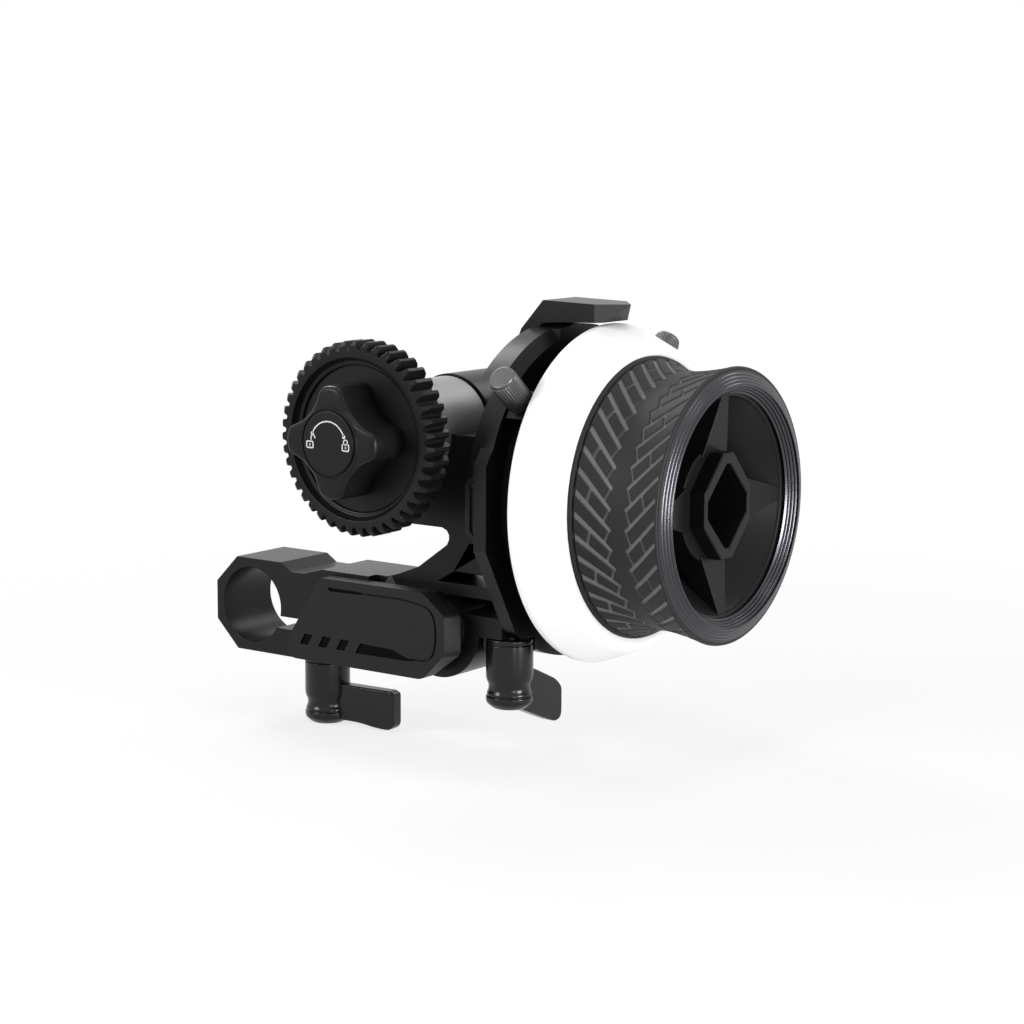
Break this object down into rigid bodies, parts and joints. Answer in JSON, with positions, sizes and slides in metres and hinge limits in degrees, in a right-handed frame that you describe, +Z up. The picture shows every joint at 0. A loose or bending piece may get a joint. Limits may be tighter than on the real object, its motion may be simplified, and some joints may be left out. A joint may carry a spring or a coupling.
{
  "type": "follow focus unit",
  "caption": "Follow focus for a camera rod: a rod clamp on a swinging arm carries a gearbox with a geared drive wheel and a rubber-grip handwheel with marking ring and hard stops.",
  "frame": {"origin": "centre of the rod clamp's bore, half way along it", "axes": "+X along the handwheel's axis towards the operator, +Y along the rod bore and away from the drive gear's knob, +Z up"},
  "size_m": [0.1065, 0.0768, 0.0846],
  "materials": {
    "black_anodised": "satin black anodised",
    "cover_plastic": "soft matte black",
    "bright_aluminium": "fine turned, clear anodised",
    "screw_steel": "black oxide",
    "bright_steel": "ground, fine knurl on the thumb screws",
    "bearing_steel": "ground",
    "gear_steel": "machined",
    "bush_bronze": "sintered",
    "gear_plastic": "moulded satin black",
    "wheel_plastic": "moulded satin black",
    "grip_rubber": "moulded tread",
    "marking_white": "smooth writable white",
    "bezel_gunmetal": "turned, dark anodised"
  },
  "bodies": {
    "arm": {"rod_clamp_arm": "black_anodised", "arm_cover": "cover_plastic", "arm_cover_screws": "screw_steel", "swing_spigot": "bright_steel", "spigot_washer": "screw_steel", "spigot_screw": "screw_steel"},
    "rod_lever": {"rod_lever_handle": "black_anodised", "rod_clamp_stud": "screw_steel", "rod_lever_cap": "screw_steel"},
    "gearbox": {"gearbox_housing": "black_anodised", "gearbox_end_cap": "black_anodised", "bearing_sleeve": "bright_aluminium", "output_bearing_front": "bearing_steel", "output_bearing_rear": "bearing_steel", "wheel_bearing_rear": "bearing_steel", "wheel_bearing_front": "bearing_steel", "lay_bush_front": "bush_bronze", "lay_bush_rear": "bush_bronze", "stop_track_ring": "black_anodised", "track_ring_screws": "screw_steel", "index_hood": "black_anodised", "hood_screws": "screw_steel"},
    "swing_lever": {"swing_lever_handle": "black_anodised", "swing_clamp_stud": "screw_steel", "swing_lever_cap": "screw_steel"},
    "handwheel": {"wheel_shaft": "bright_steel", "wheel_spur_gear": "gear_steel", "wheel_retaining_screw": "screw_steel", "damping_washer": "gear_plastic", "marking_carrier_disc": "wheel_plastic", "stop_dog_pin": "bright_steel", "marking_ring": "marking_white", "handwheel_core": "wheel_plastic", "grip_sleeve": "grip_rubber", "bezel_ring": "bezel_gunmetal"},
    "layshaft": {"lay_shaft": "bright_steel", "lay_spur_gear": "gear_steel", "drive_mitre_gear": "gear_steel"},
    "output": {"output_shaft": "bright_steel", "driven_mitre_gear": "gear_steel", "drive_gear": "gear_plastic"},
    "lock_knob": {"gear_lock_knob": "gear_plastic"},
    "stop_a": {"stop_block_a": "screw_steel"},
    "thumb_a": {"thumb_screw_a": "bright_steel"},
    "stop_b": {"stop_block_b": "screw_steel"},
    "thumb_b": {"thumb_screw_b": "bright_steel"}
  },
  "joints": [
    {"name": "rod_lever_turn", "type": "hinge", "parent": "arm", "child": "rod_lever", "pos_m": [0.0135, 0, -0.0165], "axis": [0, 0, 1], "range_deg": [-150, 0]},
    {"name": "gearbox_swing", "type": "hinge", "parent": "arm", "child": "gearbox", "pos_m": [0.0445, 0, 0.0003], "axis": [0, 1, 0], "range_deg": [-20, 20]},
    {"name": "swing_lever_turn", "type": "hinge", "parent": "gearbox", "child": "swing_lever", "pos_m": [0.058, 0, -0.0075], "axis": [0, 0, 1], "range_deg": [-150, 0]},
    {"name": "handwheel_spin", "type": "hinge", "parent": "gearbox", "child": "handwheel", "pos_m": [0.07, 0.0164, 0.0258], "axis": [1, 0, 0], "range_deg": [-118, 125]},
    {"name": "layshaft_spin", "type": "hinge", "parent": "gearbox", "child": "layshaft", "pos_m": [0.05, 0.0164, 0.0373], "axis": [1, 0, 0], "range_deg": [-126, 119]},
    {"name": "output_spin", "type": "hinge", "parent": "gearbox", "child": "output", "pos_m": [0.0381, 0, 0.0373], "axis": [0, 1, 0], "range_deg": [-126, 119]},
    {"name": "gear_lock_turn", "type": "hinge", "parent": "output", "child": "lock_knob", "pos_m": [0.0381, -0.024, 0.0373], "axis": [0, 1, 0], "range_deg": [-90, 0]},
    {"name": "stop_a_slide_round", "type": "hinge", "parent": "gearbox", "child": "stop_a", "pos_m": [0.065, 0.0164, 0.0258], "axis": [1, 0, 0], "range_deg": [-32, 0]},
    {"name": "stop_b_slide_round", "type": "hinge", "parent": "gearbox", "child": "stop_b", "pos_m": [0.065, 0.0164, 0.0258], "axis": [1, 0, 0], "range_deg": [0, 26]},
    {"name": "thumb_screw_a_turn", "type": "hinge", "parent": "stop_a", "child": "thumb_a", "pos_m": [0.065, -0.00906, 0.04679], "axis": [0, -0.7716, 0.6361], "range_deg": [0, 360]},
    {"name": "thumb_screw_b_turn", "type": "hinge", "parent": "stop_b", "child": "thumb_b", "pos_m": [0.065, 0.03932, 0.04954], "axis": [0, 0.6947, 0.7193], "range_deg": [0, 360]}
  ],
  "couplings": [
    {"joint": "layshaft_spin", "follows": "handwheel_spin", "ratio": -1},
    {"joint": "output_spin", "follows": "handwheel_spin", "ratio": -1}
  ]
}
